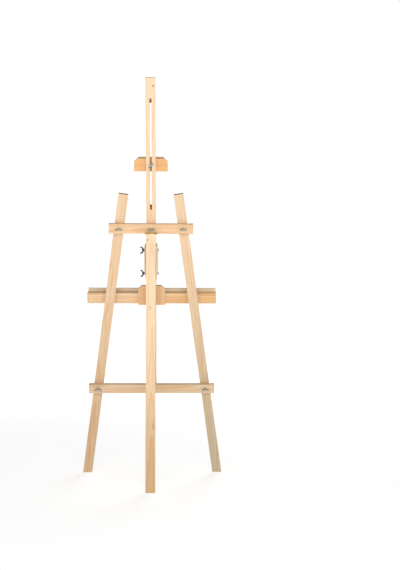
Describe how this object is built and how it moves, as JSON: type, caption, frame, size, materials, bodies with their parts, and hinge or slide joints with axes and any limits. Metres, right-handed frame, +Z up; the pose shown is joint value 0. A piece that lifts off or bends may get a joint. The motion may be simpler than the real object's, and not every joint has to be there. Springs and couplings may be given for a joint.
{
  "type": "studio easel",
  "caption": "Wooden A-frame studio easel with a slotted mast, sliding canvas tray, sliding top clamp, crossbars with wing nuts and a hinged rear leg.",
  "frame": {"origin": "on the floor under the middle of the overall box, between the three feet", "axes": "+Z up, +X to the right of a painter who stands on the -Y side, +Y towards the rear leg"},
  "size_m": [0.6238, 0.441, 1.6912],
  "materials": {
    "pine": "planed light pine, satin and unvarnished",
    "warm_pine": "planed pine of a warmer, more orange tone",
    "zinc_steel": "zinc-plated steel, slightly dulled",
    "brass": "dull plated brass"
  },
  "bodies": {
    "frame": {"hinge_pin": "brass", "hinge_screw_1": "brass", "hinge_screw_2": "brass", "hinge_upper_leaf": "brass", "left_leg": "pine", "lower_crossbar": "pine", "lower_left_bolt": "zinc_steel", "lower_left_washer": "zinc_steel", "lower_right_bolt": "zinc_steel", "lower_right_washer": "zinc_steel", "mast": "pine", "mast_screw_1": "zinc_steel", "mast_screw_2": "zinc_steel", "right_leg": "pine", "upper_centre_bolt": "zinc_steel", "upper_centre_washer": "zinc_steel", "upper_crossbar": "pine", "upper_left_bolt": "zinc_steel", "upper_left_washer": "zinc_steel", "upper_right_bolt": "zinc_steel", "upper_right_washer": "zinc_steel"},
    "rear_leg_body": {"rear_leg": "pine", "hinge_lower_leaf": "brass", "hinge_screw_3": "brass", "hinge_screw_4": "brass"},
    "shelf_carriage": {"bracket_plate": "warm_pine", "carriage_lower_bolt": "zinc_steel", "carriage_lower_washer": "zinc_steel", "carriage_upper_bolt": "zinc_steel", "carriage_upper_washer": "zinc_steel", "left_cheek": "pine", "left_cheek_screw_1": "zinc_steel", "left_cheek_screw_2": "zinc_steel", "rail_screw_1": "zinc_steel", "rail_screw_2": "zinc_steel", "right_cheek": "pine", "right_cheek_screw_1": "zinc_steel", "right_cheek_screw_2": "zinc_steel", "shelf_carrier": "pine", "shelf_rail": "pine", "tray_floor": "pine", "tray_lip": "pine", "tray_screw_1": "zinc_steel", "tray_screw_2": "zinc_steel", "tray_screw_3": "zinc_steel"},
    "top_clamp": {"clamp_bolt": "zinc_steel", "clamp_ledge": "pine", "clamp_lip": "pine", "clamp_plate": "warm_pine", "clamp_screw_1": "zinc_steel", "clamp_screw_2": "zinc_steel", "clamp_washer": "zinc_steel"},
    "carriage_lower_wing_nut_body": {"carriage_lower_wing_nut": "zinc_steel"},
    "carriage_upper_wing_nut_body": {"carriage_upper_wing_nut": "zinc_steel"},
    "clamp_wing_nut_body": {"clamp_wing_nut": "zinc_steel"},
    "lower_left_wing_nut_body": {"lower_left_wing_nut": "zinc_steel"},
    "lower_right_wing_nut_body": {"lower_right_wing_nut": "zinc_steel"},
    "upper_centre_wing_nut_body": {"upper_centre_wing_nut": "zinc_steel"},
    "upper_left_wing_nut_body": {"upper_left_wing_nut": "zinc_steel"},
    "upper_right_wing_nut_body": {"upper_right_wing_nut": "zinc_steel"}
  },
  "joints": [
    {"name": "rear_leg_fold", "type": "hinge", "parent": "frame", "child": "rear_leg_body", "pos_m": [0, 0.091, 1.06928], "axis": [1, 0, 0], "range_deg": [-16, 0]},
    {"name": "shelf_height", "type": "slide", "parent": "frame", "child": "shelf_carriage", "axis": [0, 0.2419, 0.9703], "range_m": [-0.465, 0.05]},
    {"name": "top_clamp_height", "type": "slide", "parent": "frame", "child": "top_clamp", "axis": [0, 0.2419, 0.9703], "range_m": [-0.16, 0.24]},
    {"name": "carriage_lower_nut_turn", "type": "hinge", "parent": "shelf_carriage", "child": "carriage_lower_wing_nut_body", "pos_m": [0.038, 0.03355, 0.90335], "axis": [1, 0, 0], "continuous": true},
    {"name": "carriage_upper_nut_turn", "type": "hinge", "parent": "shelf_carriage", "child": "carriage_upper_wing_nut_body", "pos_m": [0.038, 0.05799, 1.00135], "axis": [1, 0, 0], "continuous": true},
    {"name": "clamp_nut_turn", "type": "hinge", "parent": "top_clamp", "child": "clamp_wing_nut_body", "pos_m": [0, 0.14193, 1.34629], "axis": [0, 0.9703, -0.2419], "continuous": true},
    {"name": "lower_left_nut_turn", "type": "hinge", "parent": "frame", "child": "lower_left_wing_nut_body", "pos_m": [-0.2331, -0.0709, 0.39347], "axis": [0, 0.9703, -0.2419], "continuous": true},
    {"name": "lower_right_nut_turn", "type": "hinge", "parent": "frame", "child": "lower_right_wing_nut_body", "pos_m": [0.2331, -0.0709, 0.39347], "axis": [0, 0.9703, -0.2419], "continuous": true},
    {"name": "upper_centre_nut_turn", "type": "hinge", "parent": "frame", "child": "upper_centre_wing_nut_body", "pos_m": [0, 0.10183, 1.08627], "axis": [0, 0.9703, -0.2419], "continuous": true},
    {"name": "upper_left_nut_turn", "type": "hinge", "parent": "frame", "child": "upper_left_wing_nut_body", "pos_m": [-0.133, 0.10183, 1.08627], "axis": [0, 0.9703, -0.2419], "continuous": true},
    {"name": "upper_right_nut_turn", "type": "hinge", "parent": "frame", "child": "upper_right_wing_nut_body", "pos_m": [0.133, 0.10183, 1.08627], "axis": [0, 0.9703, -0.2419], "continuous": true}
  ]
}
